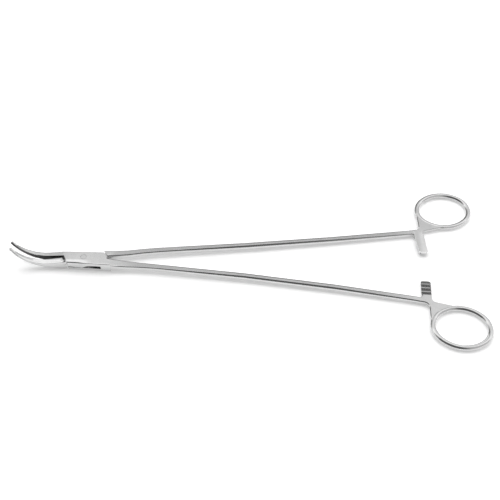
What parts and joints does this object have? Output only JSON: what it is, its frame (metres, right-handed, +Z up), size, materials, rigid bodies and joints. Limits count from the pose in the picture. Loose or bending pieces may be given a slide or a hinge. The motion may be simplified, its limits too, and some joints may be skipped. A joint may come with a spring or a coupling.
{
  "type": "hemostat forceps",
  "caption": "Long slender box-lock forceps with curved serrated jaws, finger rings and a ratchet, lying open; the two halves swing on a pivot pin.",
  "frame": {"origin": "on the pivot axis, level with the underside of the box lock that the forceps rest on", "axes": "+X along the forceps towards the finger rings, +Z up along the pivot pin, +Y towards the ring of the tongue half"},
  "size_m": [0.2504, 0.1056, 0.015],
  "materials": {
    "satin_steel": "satin",
    "pin_steel": "satin"
  },
  "bodies": {
    "box_side": {"box_half": "satin_steel", "pivot_pin": "pin_steel"},
    "tongue_side": {"tongue_half": "satin_steel"}
  },
  "joints": [
    {"name": "lock_hinge", "type": "hinge", "parent": "box_side", "child": "tongue_side", "pos_m": [0, 0, 0.0031], "axis": [0, 0, 1], "range_deg": [-5.6, 45]}
  ]
}
